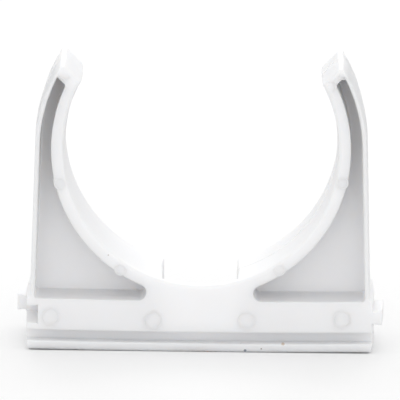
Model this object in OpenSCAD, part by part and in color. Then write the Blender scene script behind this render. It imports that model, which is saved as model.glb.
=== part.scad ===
// Snap-in clip for a 50 mm pipe or conduit: one moulding.
// Millimetres. +X runs along the base, +Y into the depth, +Z up from the wall or batten it sits on.
// The origin is the middle of the underside. The mould parts at mid-depth, y = 0, so every face
// that runs through the depth is drafted away from there towards both ends.

/* [Seat] */
// diameter of the pipe the seat grips
pipe_d = 50; // [46:0.5:54]
// height of the seat's lowest line over the underside
seat_floor = 12.6; // [12:0.1:14]
// width of the straight band of the seat at mid-depth, between its two drafted halves
land = 3; // [2:0.5:6]
// angle of the noses above the level of the pipe's centre
nose_angle = 29.5; // [24:0.5:34]
// slope of the lead-in faces on the tips
lead_angle = 45; // [40:1:50]

/* [Walls] */
// depth of the clip along the pipe
depth = 22; // [18:0.5:28]
// draft on each side of the parting plane, in degrees
draft = 1.5; // [0.5:0.1:2]
// thickness of the ring around the seat, at mid-depth
ring_wall = 2.4; // [2:0.1:3]
// gap between ring and outer arm, at the level of the pipe's centre
arm_gap = 2.1; // [1.8:0.1:2.6]
// thickness of the outer arm, at mid-depth
arm_wall = 1; // [0.8:0.1:1.4]
// how much tighter the outside of an arm curves than the ring does
arm_taper = 2; // [0:0.2:3]
// how far the straight part of an arm leans outwards on its way down, in degrees
arm_lean = 1.6; // [1:0.1:2]
// thickness of a tip, between its lead-in face and the end of the pocket
tip_wall = 1.95; // [1.6:0.05:2.4]
// thickness of the web left between the front and back pockets
web = 2; // [1.5:0.1:3]

/* [Base] */
// length of the base at mid-depth
base_len = 64; // [63.5:0.1:66]
// height of the pocket floors over the underside
base_h = 9.5; // [9.2:0.1:10]
// height of the lip under the groove
lip_h = 1.65; // [1.2:0.05:2]
// height of the groove between lip and upper base
groove_h = 2.25; // [1.8:0.05:2.3]
// how deep the groove goes in from the front and from the back
groove_d = 2.6; // [1.5:0.1:3.5]

/* [Side joint] */
// height of the middle of tongue and slot over the underside
joint_z = 6.5; // [6.3:0.05:6.6]
// how far a tongue stands out from the end of the base
tongue_out = 1.75; // [1.4:0.05:2]
// height of a tongue at its root
tongue_root = 2.4; // [2:0.1:2.6]
// height of a tongue at its tip
tongue_tip = 3; // [2.8:0.1:3.2]
// clearance above and below a tongue in the next clip's slot
joint_gap = 0.2; // [0.1:0.05:0.3]
// how far a slot goes in from the end of the base
slot_in = 2.35; // [2.2:0.05:2.6]
// radius of the gusset under a tongue's inner end
gusset_r = 0.8; // [0.4:0.1:0.9]
// width of the gusset
gusset_w = 1.2; // [0.8:0.1:2]
// clearance between a tongue's inner end and the stop at mid-depth
stop_gap = 0.4; // [0.2:0.1:0.8]

/* [Screw] */
// width of the recess for the screw head
recess_w = 13.6; // [12:0.2:14]
// thickness of the wall that closes the recess at the front
recess_wall = 2; // [1.5:0.1:3]
// height of the recess floor over the underside
recess_floor = 5; // [4.5:0.1:7]
// diameter of the screw hole
hole_d = 5.5; // [4:0.1:6]
// diameter of the countersink at the recess floor
sink_d = 10.6; // [9:0.2:11.4]

/* [Small radii and pads] */
// radius on the outer corner of a tip
corner_r = 0.9; // [0.5:0.1:1.1]
// radius on a nose
nose_r = 0.9; // [0.5:0.1:1.1]
// radius in the inner corner of a pocket's upper end
end_r = 0.9; // [0.5:0.1:1.1]
// radius of the round inner end of a pocket
pocket_r = 1.5; // [1.3:0.1:1.7]
// radius in the outer bottom corner of a pocket
fillet_r = 0.6; // [0.4:0.1:1]
// radius on the edges of the screw recess
recess_r = 0.9; // [0.6:0.1:1.2]
// diameter of the pads that the ejector pins push on
pad_d = 1.9; // [1.6:0.1:2.2]

/* [Hidden] */
$fn = 96;
plastic = [0.93, 0.93, 0.94];

half = depth / 2;
seat_r = pipe_d / 2;
centre_z = seat_floor + seat_r;
ring_r = seat_r + ring_wall;
gap_r = ring_r + arm_gap;
arm_r = gap_r + arm_wall;
end_x = base_len / 2;
tongue_x = end_x + tongue_out;
recess_x = recess_w / 2;
reach = 2 * arm_r;
over = 1;
fade = tan(draft);

// how far a round overruns the faces it runs into, so that it crosses them instead of only touching
hair = 0.005;

// the lead-in line on the right: its direction, the side with the plastic, and the nose it starts at
along = [cos(lead_angle), sin(lead_angle)];
below = [sin(lead_angle), -cos(lead_angle)];
nose = seat_r * [cos(nose_angle), sin(nose_angle)];

// the round end of a pocket touches the ring and the pocket floor
round_x = sqrt(pow(ring_r + pocket_r, 2) - pow(centre_z - base_h - pocket_r, 2));

// half the width between the insides of the arms at height z, below the pipe's centre
function gap_x(z) = gap_r + (centre_z - z) * tan(arm_lean);

// centre of a circle of radius r that touches the line a shift under the lead-in, at distance d from q
function touch(r, d, q = [0, 0], shift = 0) =
    let (p = nose + (r + shift) * below - q, b = p * along)
    q + p + (sqrt(b * b - p * p + d * d) - b) * along;

// the direction of v
function unit(v) = v / norm(v);

// Draws X and Z shapes across the depth, from y0 to y1.
module across(y0, y1) {
    translate([0, y1, 0]) rotate([90, 0, 0]) linear_extrude(height = y1 - y0) children();
}

// Draws shapes for the right-hand side, and the same on the left.
module both_sides() {
    children();
    mirror([1, 0, 0]) children();
}

// Cuts to the front and to the back of mid-depth.
module both_halves() {
    children();
    mirror([0, 1, 0]) children();
}

// All that lies above a level plane, drafted down towards the front and the back.
module trimmed_off() {
    both_halves()
        rotate([draft, 0, 0]) translate([-reach, -reach, 0]) cube(2 * reach);
}

// A drum with radius r at mid-depth, drafted towards its ends. Its axis is at c from the pipe's.
module drum(r, c) {
    translate([c[0], 0, centre_z + c[1]]) both_halves()
        rotate([90, 0, 0]) cylinder(h = half, r1 = r, r2 = r - half * fade);
}

// A corner cut back to an arc of radius r about c, whose ends lie the ways u and v. It reaches past the corner.
module corner(c, r, u, v) {
    difference() {
        polygon([c, c + r * u, c + 1.5 * r * (u + v) / (1 + u * v), c + r * v]);
        translate(c) circle(r);
    }
}

// What lies under the lead-in line on the right and above the level of the pipe's centre, shifted by d.
module under_lead(d) {
    x0 = nose[0] - nose[1] / tan(lead_angle) + d / sin(lead_angle);
    polygon([[x0, 0], [arm_r + over, 0], [arm_r + over, (arm_r + over - x0) * tan(lead_angle)]]);
}

// A convex corner cut back to a drafted round of radius r about c, whose ends lie the ways u and v.
module rounded_off(c, r, u, v) {
    difference() {
        across(-half, half) translate([0, centre_z])
            polygon([c, c + r * u, c + 1.5 * r * (u + v) / (1 + u * v), c + r * v]);
        drum(r + hair, c);
    }
}

// The right arm above the pipe's centre, drafted on the outside and on the lead-in face.
module upper_arm() {
    middle = [arm_taper, 0];
    outer = touch(corner_r, arm_r - arm_taper - corner_r, middle);
    inner = touch(nose_r, seat_r + nose_r);
    difference() {
        intersection() {
            across(-half, half) translate([0, centre_z]) under_lead(0);
            drum(arm_r - arm_taper, middle);
        }
        translate([nose[0], 0, centre_z + nose[1]]) rotate([0, -lead_angle, 0]) trimmed_off();
        rounded_off(outer, corner_r, -below, unit(outer - middle));
        across(-half, half) translate([0, centre_z]) corner(inner, nose_r, -below, -unit(inner));
    }
}

// The block between the arms' straight sides, from the base up to the pipe's centre.
module lower_arms() {
    difference() {
        translate([-reach, -half, base_h]) cube([2 * reach, depth, centre_z - base_h]);
        both_sides()
            translate([arm_r, 0, centre_z]) rotate([0, 90 - arm_lean, 0]) trimmed_off();
    }
}

// The base, with drafted ends that slope back to the arms above the pocket floors.
module base() {
    difference() {
        translate([-end_x, -half, 0]) cube([base_len, depth, base_h + 1.2]);
        both_sides() {
            translate([end_x, 0, 0]) rotate([0, 90, 0]) trimmed_off();
            translate([end_x, 0, base_h]) rotate([0, 45, 0]) trimmed_off();
        }
    }
}

// The seat: a straight band at mid-depth and a drafted half on each side of it.
module seat() {
    long = half - land / 2 + over;
    translate([0, 0, centre_z]) {
        rotate([90, 0, 0]) cylinder(h = depth, r = seat_r, center = true);
        both_halves()
            translate([0, -land / 2, 0]) rotate([90, 0, 0])
                cylinder(h = long, r1 = seat_r, r2 = seat_r + long * fade);
    }
}

// The right-hand pocket between ring and arm.
module pocket_outline() {
    z = base_h + fillet_r;
    c = [gap_x(z) - fillet_r / cos(arm_lean), z];
    top = touch(end_r - hair, ring_r + end_r - hair, shift = tip_wall);
    difference() {
        union() {
            polygon([
                [0, centre_z], [round_x, base_h + pocket_r], [round_x, base_h],
                [gap_x(base_h), base_h], [gap_r, centre_z]
            ]);
            translate([0, centre_z]) intersection() {
                circle(gap_r);
                under_lead(tip_wall);
            }
        }
        translate([0, centre_z]) {
            circle(ring_r);
            corner(top, end_r, -below, -unit(top));
        }
        corner(c, fillet_r, [0, -1], [cos(arm_lean), sin(arm_lean)]);
    }
    translate([round_x, base_h + pocket_r]) circle(pocket_r);
}

// The four pockets, with the web left at mid-depth.
module pockets() {
    both_halves() across(-half - over, -web / 2) both_sides() pocket_outline();
}

// The grooves along the foot of the front and of the back.
module grooves() {
    both_halves()
        translate([-end_x - over, -half - over, lip_h])
            cube([base_len + 2 * over, groove_d + over, groove_h]);
}

// A dovetail in section, from x0 out to x1, h0 high where it leaves the base and h1 high at its far side.
module dovetail(x0, x1, x2, h0, h1) {
    polygon([
        [x0, joint_z - h0 / 2], [x1, joint_z - h0 / 2], [x2, joint_z - h1 / 2],
        [x2, joint_z + h1 / 2], [x1, joint_z + h0 / 2], [x0, joint_z + h0 / 2]
    ]);
}

// The tongue on the right of the front half, with the gusset under its inner end.
module tongue() {
    difference() {
        across(-half, -stop_gap)
            dovetail(end_x - over, end_x, tongue_x, tongue_root, tongue_tip);
        translate([tongue_x, 0, 0]) rotate([0, 90, 0]) trimmed_off();
    }
    across(-stop_gap - gusset_w, -stop_gap)
        translate([end_x, joint_z - tongue_root / 2 - gusset_r]) difference() {
            translate([-over, 0]) square([over + gusset_r, gusset_r + 0.1]);
            translate([gusset_r, 0]) circle(gusset_r);
        }
}

// The slot on the left of the front half, open to the front and to the end of the base.
module slot() {
    mirror([1, 0, 0]) across(-half - over, 0)
        dovetail(end_x + over, end_x, end_x - slot_in,
            tongue_root + 2 * joint_gap, tongue_tip + 2 * joint_gap);
}

// The recess over the screw, open to the back and up into the seat, with rounded top edges.
module recess() {
    x = recess_x + recess_r;
    c = [x, centre_z - sqrt(pow(seat_r + recess_r, 2) - x * x)];
    across(-half + recess_wall, half + over) {
        translate([-recess_x, recess_floor]) square([recess_w, centre_z - recess_floor]);
        both_sides()
            corner(c, recess_r, [-1, 0], ([0, centre_z] - c) / norm([0, centre_z] - c));
    }
}

// The countersunk screw hole in the middle of the base.
module screw_hole() {
    translate([0, 0, -over]) cylinder(h = recess_floor + 2 * over, d = hole_d);
    translate([0, 0, recess_floor - (sink_d - hole_d) / 2])
        cylinder(h = (sink_d - hole_d) / 2 + 0.01, d1 = hole_d, d2 = sink_d + 0.02);
}

// The pads for the ejector pins, on the pocket side of the ring in the front half.
module pads() {
    both_sides() for (a = [13, 56.5])
        translate([(ring_r - 0.7) * cos(a), 0, centre_z - (ring_r - 0.7) * sin(a)])
            rotate([90, 0, 0]) cylinder(h = half, d = pad_d);
}

module conduit_clip() {
    color(plastic) {
        difference() {
            union() {
                difference() {
                    union() {
                        both_sides() upper_arm();
                        lower_arms();
                        base();
                    }
                    pockets();
                }
                pads();
                tongue();
                rotate([0, 0, 180]) tongue();
            }
            seat();
            grooves();
            slot();
            rotate([0, 0, 180]) slot();
            recess();
            screw_hole();
        }
    }
}

conduit_clip();
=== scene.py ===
# %% [markdown]
# # A snap-in conduit clip
# The clip is one white moulding that holds a 50 mm pipe. Its solid comes from CAD, in metres, with
# the origin in the middle of the underside, +X along the base, +Y into the depth and +Z up.
# Here it gets what a mould and daily handling give it: rounded edges, the marks of the mould's
# parting plane and ejector pins, a fine satin surface and a few specks of dirt.

import bmesh
import bpy
import numpy as np
from mathutils import Matrix, Vector


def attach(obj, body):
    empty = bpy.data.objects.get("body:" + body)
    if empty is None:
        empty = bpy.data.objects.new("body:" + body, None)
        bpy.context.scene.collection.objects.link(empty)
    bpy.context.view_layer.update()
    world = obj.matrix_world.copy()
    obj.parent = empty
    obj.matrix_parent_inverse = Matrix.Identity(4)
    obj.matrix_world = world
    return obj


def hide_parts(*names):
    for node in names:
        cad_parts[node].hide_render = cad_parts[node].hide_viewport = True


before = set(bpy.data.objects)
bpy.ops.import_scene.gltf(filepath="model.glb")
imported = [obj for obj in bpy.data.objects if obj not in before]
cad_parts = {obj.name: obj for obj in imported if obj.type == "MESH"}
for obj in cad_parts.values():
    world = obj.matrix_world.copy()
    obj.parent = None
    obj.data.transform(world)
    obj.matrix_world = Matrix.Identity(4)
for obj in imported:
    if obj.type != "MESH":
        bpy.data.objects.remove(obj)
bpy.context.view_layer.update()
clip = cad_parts["conduit_clip"]

# %% [markdown]
# ## Sizes that the finish needs
# The places of the marks are given by the same few sizes as the solid, in millimetres: half the
# depth, the pipe's centre and the radius of the seat.

# %% Sizes
MM = 0.001
HALF = 11.0
SEAT_R = 25.0
CENTRE_Z = 37.6
RING_R = 27.4
LIP_H = 1.65
PIN_REACH = RING_R - 0.7
NOSE = SEAT_R * np.array([np.cos(np.radians(29.5)), np.sin(np.radians(29.5))])
print("nose, right of and above the pipe's centre, mm:", NOSE.round(2))

# %% [markdown]
# ## The moulding, with rounded edges
# A mould is cut with a round tool and plastic shrinks away from sharp corners, so no edge of the
# real clip is sharp. The solid's mesh is loose triangles, so a copy is welded and the triangles
# of each flat face are joined again. What is left are the edges that a finger would feel.

# %% Weld a copy of the solid
RECESS_X = 6.8
RECESS_R = 0.9


def welded_copy(source, name):
    """A copy of a mesh whose doubles are merged and whose flat faces are joined.

    At the back, the rounding between the recess and the seat is only 0.4 mm high. Its points there
    are drawn down to the wall of the recess, so that the rim can be rounded across it.
    """
    mesh = source.data.copy()
    mesh.name = name
    points = np.empty(len(mesh.vertices) * 3)
    mesh.vertices.foreach_get("co", points)
    points = points.reshape(-1, 3)
    sideways, height = np.abs(points[:, 0]) / MM, points[:, 2] / MM
    low = (points[:, 1] > 10.9 * MM) & (sideways > RECESS_X) & (sideways < RECESS_X + 0.1)
    low &= (height > 12.0) & (height < 13.3)
    points[low, 0] = np.sign(points[low, 0]) * RECESS_X * MM
    corner_x = RECESS_X + RECESS_R
    points[low, 2] = (CENTRE_Z - np.sqrt((SEAT_R + RECESS_R) ** 2 - corner_x ** 2)) * MM
    mesh.vertices.foreach_set("co", points.ravel())
    bm = bmesh.new()
    bm.from_mesh(mesh)
    bmesh.ops.remove_doubles(bm, verts=bm.verts, dist=0.001 * MM)
    bmesh.ops.dissolve_degenerate(bm, edges=bm.edges, dist=0.001 * MM)
    bmesh.ops.dissolve_limit(
        bm, angle_limit=np.radians(0.4), verts=bm.verts, edges=bm.edges)
    bm.to_mesh(mesh)
    bm.free()
    return mesh


welded = welded_copy(clip, "welded")
print("welded:", len(welded.vertices), "points,", len(welded.polygons), "faces")

# %% [markdown]
# How round an edge is depends on where it is. The rims that guide the pipe, round the seat and on
# the lead-in faces, have the largest radius, the foot of the base a similar one, and the thin
# arms and the pockets a small one. Each edge gets its radius as a share of the largest, as its
# bevel weight. Edges where the faces hardly turn, such as those within a curved wall, get none.

# %% Measure the edges
def edge_turns(mesh):
    """For each edge, its two ends in mm and the angle in degrees between its two faces' normals."""
    points = np.empty(len(mesh.vertices) * 3)
    mesh.vertices.foreach_get("co", points)
    points = points.reshape(-1, 3) / MM
    ends = np.empty(len(mesh.edges) * 2, dtype=int)
    mesh.edges.foreach_get("vertices", ends)
    ends = ends.reshape(-1, 2)
    normals = np.empty(len(mesh.polygons) * 3)
    mesh.polygons.foreach_get("normal", normals)
    normals = normals.reshape(-1, 3)
    sizes = np.empty(len(mesh.polygons), dtype=int)
    mesh.polygons.foreach_get("loop_total", sizes)
    owner = np.repeat(np.arange(len(sizes)), sizes)
    edge_of = np.empty(len(mesh.loops), dtype=int)
    mesh.loops.foreach_get("edge_index", edge_of)
    order = np.argsort(edge_of, kind="stable")
    edges, first, count = np.unique(edge_of[order], return_index=True, return_counts=True)
    turn = np.zeros(len(mesh.edges))
    pair = count == 2
    one, two = owner[order[first[pair]]], owner[order[first[pair] + 1]]
    turn[edges[pair]] = np.degrees(
        np.arccos(np.clip((normals[one] * normals[two]).sum(axis=1), -1, 1)))
    return points[ends[:, 0]], points[ends[:, 1]], turn


start, end, turn = edge_turns(welded)
print("edges:", len(turn), "of which", int((turn > 22).sum()), "turn by more than 22 degrees")

# %% [markdown]
# The rims lie in the front and back planes of the clip. Edges that touch form a loop: the long
# loop round the whole face goes over the arms and round the seat, the short ones round the
# pockets. How far a loop reaches to the side tells which it is. A loop needs one radius all the
# way round, because two radii would not meet where the rim is a smooth curve.

# %% Find how far each loop of rim reaches
def widest_reach(ends, on_rim, sideways):
    """For each edge, the largest distance from the middle found on the rim loop it belongs to.

    Every point starts with its own distance. Both ends of a rim edge then take the larger of
    their two, again and again, until nothing changes.
    """
    reach = sideways.copy()
    one, two = ends[on_rim, 0], ends[on_rim, 1]
    before = None
    while before is None or (reach != before).any():
        before = reach.copy()
        larger = np.maximum(reach[one], reach[two])
        np.maximum.at(reach, one, larger)
        np.maximum.at(reach, two, larger)
    return reach[ends[:, 0]]


ends = np.empty(len(welded.edges) * 2, dtype=int)
welded.edges.foreach_get("vertices", ends)
ends = ends.reshape(-1, 2)
sideways = np.zeros(len(welded.vertices))
sideways[ends[:, 0]], sideways[ends[:, 1]] = np.abs(start[:, 0]), np.abs(end[:, 0])
on_rim = (np.abs(np.abs(start[:, 1]) - HALF) < 0.05) & (np.abs(np.abs(end[:, 1]) - HALF) < 0.05)
on_rim &= turn > 22.0
reach = widest_reach(ends, on_rim, sideways)
print("loops of rim reach, mm:", np.unique(reach[on_rim].round(2)))

# %% Give each edge its radius
LARGEST_RADIUS = 0.45
RIM = 0.28
middle = (start + end) / 2
height = middle[:, 2]
radius = np.full(len(turn), 0.14)
radius[on_rim] = 0.13
radius[on_rim & (reach > 31.0)] = RIM
radius[on_rim & (middle[:, 1] > 0) & (np.abs(middle[:, 0]) < RECESS_X + 0.12) & (height < 13.4)] = 0.17
radius[on_rim & (np.abs(height - LIP_H) < 0.05)] = RIM
radius[(start[:, 2] < 0.02) & (end[:, 2] < 0.02)] = LARGEST_RADIUS
radius[(np.hypot(middle[:, 0], middle[:, 1]) < 6.0) & (height < 5.1)] = 0.1
at_ends = (np.abs(start[:, 0]) > 31.6) & (np.abs(end[:, 0]) > 31.6)
radius[at_ends & (np.abs(middle[:, 0]) < 32.05) & ~on_rim & (height > 4.4) & (height < 7.8)] = 0.0
radius[turn < 22.0] = 0.0
radius[~on_rim & (turn < 40.0) & (height > 48.0)] = 0.0
weight = welded.attributes.new("bevel_weight_edge", "FLOAT", "EDGE")
weight.data.foreach_set("value", (radius / LARGEST_RADIUS).astype(np.float32))
print("rounded edges:", int((radius > 0).sum()), "largest", radius.max(), "mm")

# %% Round the edges
rounding = bpy.data.objects.new("rounding", welded)
bpy.context.scene.collection.objects.link(rounding)
bevel = rounding.modifiers.new("rounded edges", "BEVEL")
bevel.limit_method = "WEIGHT"
bevel.width = LARGEST_RADIUS * MM
bevel.segments = 4
bevel.use_clamp_overlap = False
bevel.loop_slide = False
rounded = bpy.data.meshes.new_from_object(
    rounding.evaluated_get(bpy.context.evaluated_depsgraph_get()))
bpy.data.objects.remove(rounding)
print("rounded:", len(rounded.vertices), "points,", len(rounded.polygons), "faces")

# %% [markdown]
# The rims over which the pipe slides in are rounder still. Their rounding is stretched: each of its
# points has a distance from the wall and a depth behind the front or back plane, and both grow in
# the same measure. That measure is about 2.3 in the seat, grows to 2.8 at the nose, and falls off
# again round the outer corner of the tip, where there is no room for it.

# %% Make the guiding rims rounder
DRAFT = np.tan(np.radians(1.5))
ALONG = np.array([1.0, 1.0]) / np.sqrt(2)
INWARD = np.array([1.0, -1.0]) / np.sqrt(2)
SEAT_RIM_R = SEAT_R + (HALF - 1.5) * DRAFT
SINK = HALF * DRAFT
TIP_CENTRE = np.array([25.384, 14.662])
TIP_R = 0.617


def ease(t):
    """A smooth step from 0 to 1 while t runs from 0 to 1: three t squared minus two t cubed."""
    t = np.clip(t, 0.0, 1.0)
    return t * t * (3.0 - 2.0 * t)


def rounder_rims(mesh):
    """Stretch the rounding of the seat's, lead-ins' and tips' rims, given a mesh in metres.

    q is a point's place in the front view, from the pipe's centre, with the left side mirrored
    to the right. u is its distance from the wall and v its depth. Where u and v are both within
    the rounding, q moves by (k - 1) u away from the wall and v becomes k m v, with m up to 1.6.
    """
    points = np.empty(len(mesh.vertices) * 3)
    mesh.vertices.foreach_get("co", points)
    points = points.reshape(-1, 3) / MM
    q = np.stack([np.abs(points[:, 0]), points[:, 2] - CENTRE_Z], axis=1)
    v = HALF - np.abs(points[:, 1])
    reach = np.hypot(q[:, 0], q[:, 1])
    away = q / np.maximum(reach, 1e-9)[:, None]
    u_seat = reach - SEAT_RIM_R
    u_lead = (q - NOSE) @ INWARD - SINK
    from_tip = q - TIP_CENTRE
    tip_reach = np.hypot(from_tip[:, 0], from_tip[:, 1])
    tip_turn = np.degrees(np.arctan2(from_tip[:, 1], from_tip[:, 0])) % 360.0
    shallow = (v < RIM + 0.01)
    upper = q[:, 1] > 11.0
    in_seat = shallow & (np.abs(u_seat - 0.13) < 0.17)
    in_tip = shallow & upper & (tip_turn > 32.0) & (tip_turn < 135.0) & (tip_reach > TIP_R - RIM - 0.01)
    in_lead = shallow & upper & ~in_tip & (np.abs(u_lead - 0.13) < 0.17) & (u_seat > -0.1)
    in_lead &= (tip_turn > 134.0) & (tip_turn < 300.0)

    along = (q - NOSE) @ ALONG
    at_nose = ease(1.0 - np.abs(along) / 3.0)
    k = np.ones(len(q))
    tall = np.ones(len(q))
    k[in_seat] = 2.3 + 0.5 * at_nose[in_seat]
    near_recess = in_seat & (points[:, 1] > 0) & (q[:, 0] < 12.0)
    k[near_recess] = 1.0 + 1.3 * ease((q[near_recess, 0] - 8.0) / 4.0)
    tall[in_seat] = 1.0 + 0.6 * at_nose[in_seat] * (q[in_seat, 1] > 0)
    k[in_lead] = 2.8 - 1.1 * np.clip(along[in_lead] / 4.2, 0, 1)
    tall[in_lead] = 1.6
    round_tip = ease((tip_turn - 32.0) / 103.0)
    k[in_tip] = 1.0 + 0.7 * round_tip[in_tip]
    tall[in_tip] = 1.0 + 0.6 * round_tip[in_tip]

    step = np.zeros_like(q)
    step[in_seat] = (k - 1)[in_seat, None] * u_seat[in_seat, None] * away[in_seat]
    step[in_lead] = (k - 1)[in_lead, None] * u_lead[in_lead, None] * INWARD
    inside = (TIP_R - tip_reach) / np.maximum(tip_reach, 1e-9)
    step[in_tip] = -(k - 1)[in_tip, None] * inside[in_tip, None] * from_tip[in_tip]
    both = in_seat & in_lead
    sideways = NOSE + SINK * INWARD
    slide = -sideways @ ALONG + np.sqrt((sideways @ ALONG) ** 2 + SEAT_RIM_R ** 2 - sideways @ sideways)
    corner = sideways + slide * ALONG
    step[both] = (k - 1)[both, None] * (q[both] - corner)

    moved = in_seat | in_lead | in_tip
    q[moved] += step[moved]
    v[moved] *= (k * tall)[moved]
    points[moved, 0] = np.sign(points[moved, 0]) * q[moved, 0]
    points[moved, 2] = q[moved, 1] + CENTRE_Z
    points[moved, 1] = np.sign(points[moved, 1]) * (HALF - v[moved])
    mesh.vertices.foreach_set("co", (points * MM).ravel())
    mesh.update()
    return int(in_seat.sum()), int(in_lead.sum()), int(in_tip.sum()), int(both.sum())


print("points of the seat's, lead-ins' and tips' rims, and of both:", rounder_rims(rounded))

# %% [markdown]
# Four small things tell a real moulding from a drawing. Its lip is rounded far up from the
# underside. Its base has bowed while it cooled, so that the ends stand a quarter of a millimetre
# higher than the middle. And the pockets of the left arm end a little lower than those of the right.
# Its grooves are a quarter of a millimetre lower than in the solid.
# The front is drawn in by 0.04 mm, because the ridges of the pin marks stand that far out of it.

# %% Lip, bow and left arm
LIP_ROUND = 1.1
BOW = 0.27
PIN_HEIGHT = 0.04
GROOVE_DROP = 0.25


def with_cuts(mesh, name, normal, places, reaching_below):
    """A copy of a mesh with edges where planes cut it, in the faces that reach below a height in mm."""
    bm = bmesh.new()
    bm.from_mesh(mesh)
    for place in places:
        faces = [f for f in bm.faces if min(v.co.z for v in f.verts) < reaching_below * MM]
        parts = {v for f in faces for v in f.verts} | {e for f in faces for e in f.edges}
        bmesh.ops.bisect_plane(
            bm, geom=list(parts) + faces, dist=0.0001 * MM,
            plane_co=Vector(normal) * place * MM, plane_no=normal)
    cut = bpy.data.meshes.new(name)
    bm.to_mesh(cut)
    bm.free()
    return cut


def as_moulded(mesh):
    """Round the lip's foot, bow the base and shorten the left pockets, given a mesh in metres.

    The top edges of the grooves are lowered. The foot's rounding is stretched upwards to LIP_ROUND and inwards by a third. The bow lifts a
    point by BOW times the square of x over 32 mm, and fades out between 9 and 14 mm up. The ends
    of the left pockets turn about the pipe's centre, by up to 1.25 degrees.
    """
    points = np.empty(len(mesh.vertices) * 3)
    mesh.vertices.foreach_get("co", points)
    points = points.reshape(-1, 3) / MM
    x, y, z = points.T
    y[y < 0] *= 1.0 - PIN_HEIGHT / HALF
    foot = (z < LARGEST_RADIUS + 0.01) & (np.hypot(x, y) > 6.0)
    for values, edge in ((x, 32.0 - np.abs(y) * DRAFT), (y, HALF)):
        inward = edge - np.abs(values)
        near = foot & (inward < LARGEST_RADIUS + 0.3)
        values[near] = (np.sign(values) * (edge - 1.33 * inward))[near]
    z[foot] *= LIP_ROUND / LARGEST_RADIUS
    z[(z > 3.75) & (z < 4.15) & (np.abs(y) > 7.9)] -= GROOVE_DROP
    z += BOW * (x / 32.0) ** 2 * ease((14.0 - z) / 5.0)

    reach = np.hypot(x, z - CENTRE_Z)
    turn = np.degrees(np.arctan2(z - CENTRE_Z, -x))
    pocket = (reach > RING_R - 0.2) & (reach < 29.645) & (turn > 14.0) & (turn < 40.0)
    pocket &= (np.stack([-x, z - CENTRE_Z], axis=1) - NOSE) @ INWARD > 1.5
    angle = np.radians(1.25 * ease((turn[pocket] - 14.0) / 12.0) - turn[pocket])
    x[pocket], z[pocket] = -reach[pocket] * np.cos(angle), CENTRE_Z - reach[pocket] * np.sin(angle)
    mesh.vertices.foreach_set("co", (np.stack([x, y, z], axis=1) * MM).ravel())
    mesh.update()
    return int(foot.sum()), int(pocket.sum())


rounded = with_cuts(rounded, "rounded", (1, 0, 0), np.arange(-28.0, 29.0, 8.0), 11.0)
print("points of the foot and of the left pockets' ends:", as_moulded(rounded))

# %% [markdown]
# The two halves of this mould do not quite meet: the back half sits a tenth of a millimetre to the
# left. On the photograph that is the thin dark line which runs round the right side of the seat
# and over the right tip. The rounded mesh is cut twice close behind mid-depth, and the points
# behind the cuts are moved, except on the base and its ends.

# %% Let the back half of the mould sit a little to the left
STEP_WIDTH = 0.03
MISMATCH = 0.12


def with_mismatch(mesh, name):
    """A copy of a mesh, cut along y = 0 and just behind it, whose part behind is moved to the left."""
    moved = with_cuts(mesh, name, (0, 1, 0), (0.0, STEP_WIDTH), 100.0)
    points = np.empty(len(moved.vertices) * 3)
    moved.vertices.foreach_get("co", points)
    points = points.reshape(-1, 3)
    behind = (points[:, 1] > 0.5 * STEP_WIDTH * MM) & (np.abs(points[:, 0]) < 31.5 * MM)
    lift = np.clip((points[:, 2] / MM - 9.6) / 1.0, 0, 1)
    points[behind, 0] -= MISMATCH * MM * lift[behind]
    moved.vertices.foreach_set("co", points.ravel())
    moved.update()
    return moved


moulding = with_mismatch(rounded, "moulding")
moulding.polygons.foreach_set("use_smooth", np.ones(len(moulding.polygons), dtype=bool))
start, end, turn = edge_turns(moulding)
sharp = moulding.attributes.new("sharp_edge", "BOOLEAN", "EDGE")
sharp.data.foreach_set("value", turn > 42.0)
print("moulding:", len(moulding.vertices), "points,", len(moulding.polygons), "faces")

body = bpy.data.objects.new("conduit_clip_moulding", moulding)
bpy.context.scene.collection.objects.link(body)
flat_faces = body.modifiers.new("flat faces stay flat", "WEIGHTED_NORMAL")
flat_faces.mode = "FACE_AREA"
flat_faces.weight = 50
flat_faces.keep_sharp = True
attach(body, "root")
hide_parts("conduit_clip")

# %% [markdown]
# ## Marks of the ejector pins
# Round pins push the clip out of its mould, and each leaves a faint ring on the front. Three are on
# the tips of the arms, four where the ring meets the base and four larger ones on the base. A ring
# is a thin ridge, half sunk in the face: an ellipse that goes round a circle. Where a pin lies
# across the rim of a tip, only an arc of its ring shows, which runs out at both ends.

# %% Rings
FRONT = -HALF + PIN_HEIGHT
PIN_MARKS = [
    # x, z, radius, width and height of the ridge in mm, first and last angle in degrees
    (-25.02, 51.43, 0.92, 0.20, 0.034, 185, 345),
    (25.75, 52.05, 0.95, 0.20, 0.034, 198, 305),
    (23.47, 49.66, 0.94, 0.20, 0.030, -70, 120),
    (-25.76, 31.08, 0.95, 0.20, 0.036, 0, 360),
    (25.97, 31.76, 0.95, 0.20, 0.036, 0, 360),
    (-14.58, 15.20, 0.95, 0.18, 0.026, 0, 360),
    (14.53, 15.45, 0.95, 0.18, 0.026, 0, 360),
    (-27.33, 6.24, 1.50, 0.18, 0.020, 0, 360),
    (-8.51, 5.85, 1.50, 0.18, 0.020, 0, 360),
    (8.62, 5.98, 1.50, 0.18, 0.020, 0, 360),
    (26.08, 6.41, 1.50, 0.18, 0.020, 0, 360),
]


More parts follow.
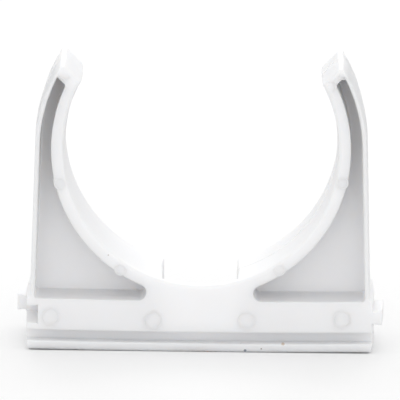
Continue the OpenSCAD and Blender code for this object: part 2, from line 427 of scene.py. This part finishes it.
def ridge(x, z, reach, width, height, first, last, steps=72, sides=8):
    """Points in mm and faces of a ridge round (x, z) in the front face, closed all round.

    At the angle t along the ring and s round the ridge, a point lies reach + width/2 cos s from
    the ring's centre and height times sin s in front of the face. Both width and height are
    multiplied by the square root of 1 - c^8, where c goes from -1 to 1 along an arc.
    """
    whole = last - first == 360
    c = np.linspace(-1, 1, steps + 1)[1:-1] if not whole else np.linspace(-1, 1, steps, endpoint=False)
    t = np.radians(first + (last - first) * (c + 1) / 2)[:, None]
    s = np.linspace(0, 2 * np.pi, sides, endpoint=False)[None, :]
    taper = np.ones_like(t) if whole else np.sqrt(1.0 - c[:, None] ** 8)
    out = reach + 0.5 * width * taper * np.cos(s)
    points = np.stack(
        [x + out * np.cos(t), FRONT - height * taper * np.sin(s), z + out * np.sin(t)], axis=2)
    rows = len(c)
    index = np.arange(rows * sides).reshape(rows, sides)
    if whole:
        index = np.vstack([index, index[:1]])
    beside = np.roll(index, -1, axis=1)
    quads = np.stack([index[:-1], index[1:], beside[1:], beside[:-1]], axis=2).reshape(-1, 4)
    faces = quads.tolist()
    points = points.reshape(-1, 3)
    if not whole:
        ends = np.radians([first, last])
        poles = np.stack([x + reach * np.cos(ends), np.full(2, FRONT), z + reach * np.sin(ends)], axis=1)
        points = np.vstack([points, poles])
        pole = np.full(sides, rows * sides)
        faces += np.stack([pole, index[0], beside[0]], axis=1).tolist()
        faces += np.stack([pole + 1, beside[-1], index[-1]], axis=1).tolist()
    return points, faces


def solid_of(name, parts):
    """A mesh of several closed shapes in mm, whose faces look outwards."""
    points, faces, start_at = [], [], 0
    for part_points, part_faces in parts:
        points.append(part_points)
        faces += [[start_at + k for k in face] for face in part_faces]
        start_at += len(part_points)
    mesh = bpy.data.meshes.new(name)
    mesh.from_pydata((np.vstack(points) * MM).tolist(), [], faces)
    bm = bmesh.new()
    bm.from_mesh(mesh)
    bmesh.ops.recalc_face_normals(bm, faces=bm.faces)
    bm.to_mesh(mesh)
    bm.free()
    mesh.polygons.foreach_set("use_smooth", np.ones(len(mesh.polygons), dtype=bool))
    return mesh


rings = solid_of("ejector_pin_rings", [ridge(*mark) for mark in PIN_MARKS])
pin_rings = bpy.data.objects.new("ejector_pin_rings", rings)
bpy.context.scene.collection.objects.link(pin_rings)
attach(pin_rings, "root")
print("rings:", len(rings.vertices), "points,", len(rings.polygons), "faces")

# %% [markdown]
# ## White plastic
# The clip is moulded in white, slightly milky plastic: light goes in and comes out again up to a
# few millimetres away. Its surface is satin, with a very fine grain from the mould, and it is a
# little glossier in some places than in others. Daily handling left a few specks on the front of
# the lip and in the groove. A brownish patch of painted shadow darkens the middle of the bottom
# edge, where the base touches the floor.

# %% The plastic
PLASTIC_COLOUR = (0.90, 0.90, 0.91, 1.0)
SPECKS = [
    # x and z of the speck, radii where it is full and where it ends, in mm, and its colour
    ((7.64, 1.85), (0.10, 0.26), (0.42, 0.42, 0.45, 1.0)),
    ((15.35, 1.80), (0.18, 0.46), (0.68, 0.56, 0.47, 1.0)),
    ((8.41, 0.42), (0.13, 0.36), (0.24, 0.27, 0.31, 1.0)),
    ((11.39, 0.78), (0.06, 0.22), (0.42, 0.38, 0.36, 1.0)),
    ((10.90, 3.05), (0.05, 0.20), (0.55, 0.53, 0.52, 1.0)),
    ((30.14, 2.90), (0.06, 0.20), (0.55, 0.54, 0.55, 1.0)),
    ((-16.78, 17.95), (0.05, 0.20), (0.60, 0.55, 0.52, 1.0)),
]


def new_material(name):
    """An empty node material with its output, its shader and the object's coordinates."""
    material = bpy.data.materials.new(name)
    material.use_nodes = True
    nodes = material.node_tree.nodes
    shader = nodes["Principled BSDF"]
    place = nodes.new("ShaderNodeTexCoord")
    return material, material.node_tree, shader, place.outputs["Object"]


plastic, tree, shader, place = new_material("white_plastic")
shader.inputs["Specular IOR Level"].default_value = 0.4
shader.inputs["Subsurface Radius"].default_value = (1.0, 0.95, 0.9)
shader.inputs["Subsurface Scale"].default_value = 2.8 * MM
grain = tree.nodes.new("ShaderNodeTexNoise")
grain.inputs["Scale"].default_value = 9000.0
tree.links.new(place, grain.inputs["Vector"])
bump = tree.nodes.new("ShaderNodeBump")
bump.inputs["Strength"].default_value = 0.06
bump.inputs["Distance"].default_value = 0.02 * MM
tree.links.new(grain.outputs["Fac"], bump.inputs["Height"])
tree.links.new(bump.outputs["Normal"], shader.inputs["Normal"])


def maths(kind, *values):
    """A maths node for these numbers or sockets, and its result."""
    node = tree.nodes.new("ShaderNodeMath")
    node.operation = kind
    for socket, value in zip(node.inputs, values):
        if isinstance(value, (int, float)):
            socket.default_value = value
        else:
            tree.links.new(value, socket)
    return node.outputs["Value"]


def blend(share, one, two):
    """A mix of two colours, each a value or a socket."""
    node = tree.nodes.new("ShaderNodeMix")
    node.data_type = "RGBA"
    tree.links.new(share, node.inputs["Factor"])
    for socket, value in ((node.inputs["A"], one), (node.inputs["B"], two)):
        if isinstance(value, tuple):
            socket.default_value = value
        else:
            tree.links.new(value, socket)
    return node.outputs["Result"]


def near(centre, stretch, inner, outer):
    """How much a point is in a spot: 1 within the inner radius and 0 beyond the outer, both in mm.

    The distance is taken after each axis is multiplied by its stretch, and a little noise is
    added, so that no spot is quite round.
    """
    scaled = tree.nodes.new("ShaderNodeVectorMath")
    scaled.operation = "MULTIPLY"
    scaled.inputs[1].default_value = stretch
    tree.links.new(place, scaled.inputs[0])
    gap = tree.nodes.new("ShaderNodeVectorMath")
    gap.operation = "DISTANCE"
    tree.links.new(scaled.outputs["Vector"], gap.inputs[0])
    gap.inputs[1].default_value = Vector(centre) * Vector(stretch) * MM
    uneven = maths("MULTIPLY_ADD", ragged.outputs["Fac"], 0.8 * inner * MM, gap.outputs["Value"])
    spot = tree.nodes.new("ShaderNodeMapRange")
    spot.interpolation_type = "SMOOTHSTEP"
    tree.links.new(uneven, spot.inputs["Value"])
    spot.inputs["From Min"].default_value = 1.4 * inner * MM
    spot.inputs["From Max"].default_value = (outer + 0.4 * inner) * MM
    spot.inputs["To Min"].default_value = 1.0
    spot.inputs["To Max"].default_value = 0.0
    return spot.outputs["Result"]


ragged = tree.nodes.new("ShaderNodeTexNoise")
ragged.inputs["Scale"].default_value = 2500.0
tree.links.new(place, ragged.inputs["Vector"])
cloudy = tree.nodes.new("ShaderNodeTexNoise")
cloudy.inputs["Scale"].default_value = 160.0
cloudy.inputs["Detail"].default_value = 3.0
tree.links.new(place, cloudy.inputs["Vector"])
colour = blend(cloudy.outputs["Fac"], PLASTIC_COLOUR, tuple(0.975 * c for c in PLASTIC_COLOUR[:3]) + (1.0,))
# Painted shadow: a brownish patch, darkest at the middle of the bottom edge, where the base touches the
# floor.
painted_contact_shadow = maths("MULTIPLY", near((-0.8, -11.0, 0.1), (0.21, 0.2, 1.0), 0.35, 1.3), 0.22)
colour = blend(painted_contact_shadow, colour, (0.42, 0.36, 0.31, 1.0))
dirt = None
for (x, z), (inner, outer), tint in SPECKS:
    speck = near((x, -11.0, z), (1.0, 0.2, 1.0), inner, outer)
    colour = blend(speck, colour, tint)
    dirt = speck if dirt is None else maths("MAXIMUM", dirt, speck)
tree.links.new(colour, shader.inputs["Base Color"])
tree.links.new(maths("SUBTRACT", 1.0, dirt), shader.inputs["Subsurface Weight"])
satin = maths("MULTIPLY_ADD", cloudy.outputs["Fac"], 0.12, 0.42)
tree.links.new(maths("MULTIPLY_ADD", dirt, 0.3, satin), shader.inputs["Roughness"])
moulding.materials.clear()
moulding.materials.append(plastic)
skin = plastic.copy()
skin.name = "white_plastic_skin"
skin_nodes, skin_links = skin.node_tree.nodes, skin.node_tree.links
weight = skin_nodes["Principled BSDF"].inputs["Subsurface Weight"]
skin_links.remove(weight.links[0])
weight.default_value = 0.0
rings.materials.clear()
rings.materials.append(skin)
print("the plastic has", len(tree.nodes), "nodes, with", len(SPECKS), "specks")

# %% [markdown]
# ## Floor, light and camera
# The clip stands on a white floor under soft light from above.

# %% Floor
def white_floor():
    material, tree, shader, place = new_material("white_floor")
    shader.inputs["Roughness"].default_value = 1.0
    shader.inputs["Specular IOR Level"].default_value = 0.0
    path = tree.nodes.new("ShaderNodeLightPath")
    mix = tree.nodes.new("ShaderNodeMix")
    mix.data_type = "RGBA"
    mix.inputs["A"].default_value = (0.75, 0.75, 0.75, 1)
    mix.inputs["B"].default_value = (1.0, 1.0, 1.0, 1)
    tree.links.new(path.outputs["Is Camera Ray"], mix.inputs["Factor"])
    tree.links.new(mix.outputs["Result"], shader.inputs["Base Color"])
    return material


bpy.ops.mesh.primitive_plane_add(size=6.0, location=(0, 0, 0))
floor = bpy.context.object
floor.name = "floor"
floor.data.materials.append(white_floor())

# %% Light
ROOM = 0.905
LAMPS = {
    "low front": ((0.0, -1.0, 0.02), 1.0, 7.8),
    "front": ((0.0, -1.0, 0.7), 1.2, 1.5),
    "low back": ((0.0, 1.0, 0.5), 1.2, 7.6),
}
world = bpy.data.worlds.new("studio")
bpy.context.scene.world = world
world.use_nodes = True
nodes, links = world.node_tree.nodes, world.node_tree.links
background = nodes["Background"]
background.inputs["Color"].default_value = (1, 1, 1, 1)
path = nodes.new("ShaderNodeLightPath")
level = nodes.new("ShaderNodeMix")
level.inputs["A"].default_value = ROOM
level.inputs["B"].default_value = 1.0
links.new(path.outputs["Is Camera Ray"], level.inputs["Factor"])
links.new(level.outputs["Result"], background.inputs["Strength"])


def softbox(name, direction, size, power, distance=2.0):
    """A square lamp at some distance from the clip, pointed at it."""
    lamp = bpy.data.lights.new(name, "AREA")
    lamp.energy = power
    lamp.size = size
    holder = bpy.data.objects.new(name, lamp)
    towards = Vector(direction).normalized()
    turned = towards.to_track_quat("Z", "Y").to_matrix().to_4x4()
    holder.matrix_world = Matrix.Translation(towards * distance) @ turned
    bpy.context.scene.collection.objects.link(holder)


for name, (direction, size, power) in LAMPS.items():
    softbox(name, direction, size, power)
print("lamps:", ", ".join(LAMPS))

# %% Camera
PITCH, YAW, ROLL = np.radians([10.57, 0.75, 0.53])
DISTANCE = 1701.0
PIXELS_PER_MM = 5.4366
TARGET = np.array([-0.24, 0.0, 26.36])
side = np.array([np.cos(YAW), np.sin(YAW), 0.0])
level_ahead = np.array([-np.sin(YAW), np.cos(YAW), 0.0])
up = np.sin(PITCH) * level_ahead + np.array([0, 0, np.cos(PITCH)])
ahead = np.cos(PITCH) * level_ahead - np.array([0, 0, np.sin(PITCH)])
right = np.cos(ROLL) * side + np.sin(ROLL) * up
top = -np.sin(ROLL) * side + np.cos(ROLL) * up
camera = bpy.data.objects.new("camera", bpy.data.cameras.new("camera"))
bpy.context.scene.collection.objects.link(camera)
camera.matrix_world = Matrix([
    [right[i], top[i], -ahead[i], (TARGET - DISTANCE * ahead)[i] * MM] for i in range(3)
] + [[0, 0, 0, 1]])
camera.data.sensor_width = 36.0
camera.data.lens = 36.0 * DISTANCE * PIXELS_PER_MM / 400.0
camera.data.clip_start = 0.05
camera.data.clip_end = 20.0
bpy.context.scene.camera = camera
bpy.context.scene.view_settings.view_transform = "Standard"
